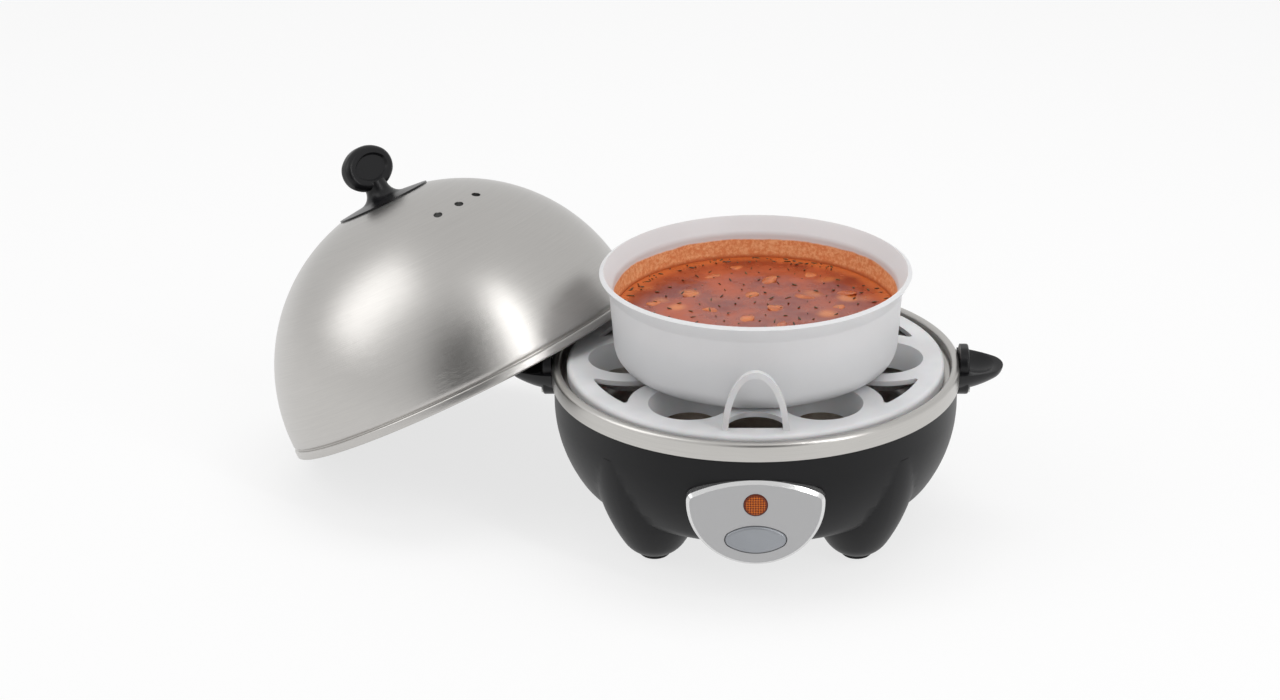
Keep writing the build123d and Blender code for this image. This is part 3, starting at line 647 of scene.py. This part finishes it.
# The CAD nodes that show as they are
for node, material in {
    "bottom_cover": cover_plastic,
    "cover_screws": screw_steel,
    "handle_screws": screw_steel,
    "knob_screw": screw_steel,
    "knob_washer": screw_steel,
    "foot_pad_front_left": foot_rubber,
    "foot_pad_front_right": foot_rubber,
    "foot_pad_back_left": foot_rubber,
    "foot_pad_back_right": foot_rubber,
    "heating_plate": cast_plate,
    "heating_element": element_steel,
    "plate_clamp_ring": screw_steel,
    "thermostat": ceramic,
    "thermal_fuse": sleeve,
    "terminal_block": pale_plastic,
    "indicator_lamp": lamp_glass,
    "switch_body": dark_plastic,
    "cord_gland": gland_rubber,
}.items():
    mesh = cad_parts[node].data
    mesh.materials.clear()
    mesh.materials.append(material)

# --- the base -----------------------------------------------------------------------------
shell = dressed("base_shell", "black_shell", black_plastic, 34)
stands_for(shell, "base", "black_plastic", "base_shell")
for side in ("left", "right"):
    handle = dressed(f"{side}_handle", f"{side}_ear", black_knob, 40)
    stands_for(handle, "base", "black_plastic", f"{side}_handle")
panel = dressed("control_panel", "panel_shield", silver_panel(), 20)
stands_for(panel, "base", "panel_silver", "control_panel")
lens = dressed("indicator_lens", "lens_cap", orange_lens(), 40)
stands_for(lens, "base", "lens_orange", "indicator_lens")
button = dressed("power_button", "button_cap", button_plastic, 40)
stands_for(button, "button", "button_grey", "power_button")

pan_line = rounded(
    [
        (RIM_RADIUS, RIM_FOOT, 0),
        (RIM_RADIUS, RIM_TOP, 1.8),
        (GROOVE_RADIUS, RIM_TOP, 1.4),
        (GROOVE_RADIUS, LEDGE_HEIGHT, 1.2),
        (LEDGE_RADIUS, LEDGE_HEIGHT, 2.0),
        (PAN_FLOOR_RADIUS, PAN_FLOOR, 8.0),
        (PLATE_RADIUS, PAN_FLOOR, 0),
    ]
)
pan = lathe("steel_pan", walled(pan_line, PAN_SHEET), rim_steel, 256)
stands_for(pan, "base", "pan_steel", "steam_pan")

# --- tray, bowl and soup ------------------------------------------------------------------
tray = dressed("egg_tray", "white_egg_tray", tray_plastic, 34)
stands_for(tray, "tray", "tray_plastic", "egg_tray")

bowl_line = rounded(
    [
        (0.0, BOWL_FOOT, 0),
        (BOWL_FOOT_RADIUS, BOWL_FOOT, 9.0),
        (BOWL_NECK_RADIUS, BOWL_NECK, 3.0),
        (BOWL_LIP_RADIUS, BOWL_TOP, 0),
    ],
    10,
)
bowl = lathe("white_steam_bowl", walled(bowl_line, BOWL_WALL), white_bowl, 224)
stands_for(bowl, "bowl", "bowl_plastic", "cooking_bowl")

soup_side = line((0, 75.8), (50.0, 75.8), (56.0, 78.0), (58.7, 82.8), (60.3, SOUP_TOP - 0.8))
soup_rings = 48
soup_top = line(
    *((SOUP_RADIUS - SOUP_RADIUS * k / soup_rings, SOUP_TOP) for k in range(soup_rings + 1))
)
soup = lathe("soup_broth", soup_side + soup_top, soup_broth(), 160)
for vert in soup.data.vertices:  # low swells that fade out at the wall
    if vert.co.z > (SOUP_TOP - 0.4) * mm:
        from_wall = SOUP_RADIUS * mm - sqrt(vert.co.x**2 + vert.co.y**2)
        swell = noise.noise(vert.co * 70) * 0.35 + noise.noise(vert.co * 230) * 0.15
        vert.co.z += (swell - 0.2) * mm * min(1.0, from_wall / (SOUP_EDGE_FADE * mm))
stands_for(soup, "bowl", "soup", "soup")

tree = scatter_tree("soup_scatter")
bean, leaf = lump_shape("bean_form", 3, 3.1), lump_shape("leaf_form", 2, 8.4)
bean_bed = flat_ring("bean_bed", 2.0, 52.0, 0, 360, SOUP_TOP - BEAN_DEPTH)
beans = scattered(
    "soup_beans",
    tree,
    bean_bed,
    Lump=bean,
    Spacing=0.0165,
    Density=9000.0,
    Seed=7,
    Smallest=(0.0070, 0.0050, 0.0026),
    Largest=(0.0120, 0.0085, 0.0034),
    Tip=0.25,
    Material=soup_lump(),
)
herb_look = soup_herb()
herb_beds = [
    (flat_ring("middle", 2.0, 50.0, 0, 360, SOUP_TOP), 0.0058, 12),
    (flat_ring("rear", 54.5, 59.8, 50, 190, SOUP_TOP), 0.0016, 5),
    (flat_ring("right", 52.0, 59.0, -30, 30, SOUP_TOP), 0.0040, 9),
]
herbs = [
    scattered(
        f"soup_herbs_{bed.name}",
        tree,
        bed,
        Lump=leaf,
        Spacing=spacing,
        Density=90000.0,
        Seed=seed,
        Smallest=(0.0006, 0.0003, 0.0004),
        Largest=(0.0032, 0.0009, 0.0007),
        Tip=0.35,
        Material=herb_look,
    )
    for bed, spacing, seed in herb_beds
]
for bed in [bean_bed] + [bed for bed, _, _ in herb_beds]:
    bpy.data.objects.remove(bed)
for piece in [beans] + herbs:
    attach(piece, "bowl")


# --- the lid ------------------------------------------------------------------------------
def drill_vents(lid):
    """Cut the round holes that let the steam out."""
    drills = bmesh.new()
    for turn in (-VENT_STEP, 0.0, VENT_STEP):
        side = Vector((sin(radians(turn)), -cos(radians(turn)), 0))
        way = (side * VENT_LEAN_OUT + Vector((0, 0, VENT_LEAN_UP))).normalized()
        spot = side * VENT_REACH + Vector((0, 0, VENT_HEIGHT))
        facing = way.to_track_quat("Z", "Y").to_matrix().to_4x4()
        bmesh.ops.create_cone(
            drills,
            cap_ends=True,
            segments=40,
            radius1=VENT_RADIUS * mm,
            radius2=VENT_RADIUS * mm,
            depth=VENT_DEPTH * mm,
            matrix=LID_PLACE @ Matrix.Translation(spot * mm) @ facing,
        )
    drill_mesh = bpy.data.meshes.new("vent_drills")
    drills.to_mesh(drill_mesh)
    drills.free()
    drill_tool = add_object("vent_drills", drill_mesh)
    cut = lid.modifiers.new("vents", "BOOLEAN")
    cut.operation = "DIFFERENCE"
    cut.solver = "EXACT"
    cut.object = drill_tool
    cut_mesh = evaluated_mesh(lid)
    lid.modifiers.clear()
    lid.data = cut_mesh
    bpy.data.objects.remove(drill_tool)


lid_arc = (LID_ARC_X, LID_ARC_Z)
lid_outside = (
    line((84.4, 0.0), (LID_EDGE, 0.0))
    + arc((LID_EDGE, BEAD_ROUND), BEAD_ROUND, -90, 0, 4)[1:]
    + arc((LID_EDGE, BEAD_TOP), BEAD_ROUND, 0, 90, 4)
    + line((84.8, 4.2), (84.8, 4.5), (85.5, 5.4))
    + arc(lid_arc, LID_ARC_RADIUS, 0, 75.36, 72)
    + line((LID_CAP_RADIUS, LID_TOP), (12.0, LID_TOP), (0, LID_TOP))
)
lid_inside = (
    line((0, 86.5), (12.0, 86.5), (22.0, 86.45))
    + arc(lid_arc, LID_ARC_RADIUS - LID_SHEET, 75.0, 0.5, 56)
    + line((84.0, 5.0), (84.0, 4.0), (83.6, BEAD_TOP), (83.6, BEAD_ROUND), (83.8, 0.2))
)
lid = lathe("steel_lid", lid_inside + lid_outside, lid_steel, 288, LID_PLACE)
drill_vents(lid)
smooth(lid, 32)
stands_for(lid, "lid", "lid_steel", "lid_dome")
knob = dressed("lid_knob", "black_lid_knob", black_knob, 42)
stands_for(knob, "lid", "knob_plastic", "lid_knob")


# --- floor, studio and camera -------------------------------------------------------------
def floor_paper():
    """Pale paper that looks white to the camera and keeps a soft shadow."""
    paper = Finish(
        "studio_floor", base_color=(0.9, 0.9, 0.9, 1), roughness=0.9, specular_ior_level=0.1
    )
    grain = paper.noise(paper.place, 3.0)
    white = paper.node("ShaderNodeEmission", {}, {"Color": (1, 1, 1, 1), "Strength": 1.0})
    seen, mirrored, through = paper.rays()
    share = paper.math("MINIMUM", seen + mirrored + through, 1.0)
    share = share * (FLOOR_WHITE + FLOOR_GRAIN * grain)
    plain = Value(paper, paper.surface.outputs[0])
    blend = paper.node("ShaderNodeMixShader", {}, {0: share, 1: plain, 2: white})
    paper.tree.links.new(blend.socket, paper.tree.nodes["Material Output"].inputs[0])
    return paper.material


def studio_sky():
    """White to the camera; in reflections a pale room with a dark gap behind the camera."""
    world = bpy.data.worlds.new("studio")
    bpy.context.scene.world = world
    world.use_nodes = True
    sky = Graph(world.node_tree)
    x, y, z = sky.parts(sky.node("ShaderNodeTexCoord", {}, {}, "Generated"))
    sideways = sky.math("ABSOLUTE", x / (sky.reach(x, y) + 0.001) - GAP_RIGHT)
    gap = (1 - sideways.rise(GAP_INNER, GAP_OUTER)) * (y < 0.0)
    gap = gap * (1 - z.rise(GAP_FADE_FROM, GAP_FADE_TO))
    room = ROOM_LEVEL * (1 - GAP_DARK * gap)
    seen, mirrored, through = sky.rays()
    mirror = sky.math("MAXIMUM", mirrored, through)
    matt = 1 - sky.math("MAXIMUM", seen, mirror)
    strength = seen + mirror * room + matt * PLAIN_LEVEL
    background = sky.tree.nodes["Background"]
    background.inputs["Color"].default_value = (1, 1, 1, 1)
    sky.tree.links.new(strength.socket, background.inputs["Strength"])


def softbox(name, spot, aim, size, power, mirrored=True):
    """A rectangular lamp that faces aim. Places and sizes in metres, power in watts."""
    light = bpy.data.lights.new(name, "AREA")
    light.shape = "RECTANGLE"
    light.size, light.size_y = size
    light.energy = power
    lamp = add_object(name, light)
    lamp.location = spot
    lamp.rotation_euler = (Vector(aim) - Vector(spot)).to_track_quat("-Z", "Y").to_euler()
    lamp.visible_glossy = mirrored


def add_camera():
    """A long lens that looks down at the cooker, which stands right of the image's middle."""
    optics = bpy.data.cameras.new("camera")
    optics.sensor_width = SENSOR_WIDTH
    optics.lens = LENS_PIXELS / IMAGE_WIDTH * SENSOR_WIDTH
    optics.shift_x = -(AXIS_X - IMAGE_WIDTH / 2) / IMAGE_WIDTH
    optics.shift_y = (AXIS_Y - IMAGE_HEIGHT / 2) / IMAGE_WIDTH
    optics.clip_start, optics.clip_end = 0.05, 30
    camera = add_object("camera", optics)
    back, up = CAMERA_DISTANCE * cos(CAMERA_TILT), CAMERA_DISTANCE * sin(CAMERA_TILT)
    camera.location = CAMERA_AIM + Vector((0, -back, up))
    camera.rotation_euler = (pi / 2 - CAMERA_TILT, 0, 0)
    bpy.context.scene.camera = camera


corners = ((-1, -1), (1, -1), (1, 1), (-1, 1))
floor = mesh_piece(
    "studio_floor",
    [(x * FLOOR_SIDE, y * FLOOR_SIDE, -FLOOR_DROP) for x, y in corners],
    [(0, 1, 2, 3)],
    floor_paper(),
)
studio_sky()
softbox("left_softbox", (-1.25, -0.25, 1.05), (-0.1, 0, 0.07), (0.9, 1.3), 5.0)
softbox("right_strip", (0.80, -0.78, 0.85), (-0.1, 0, 0.07), (0.12, 1.7), 5.5)
softbox("top_softbox", (0.1, 0.30, 1.5), (0, 0, 0.07), (1.1, 0.7), 8.5, mirrored=False)
add_camera()
bpy.context.scene.view_settings.view_transform = "Standard"
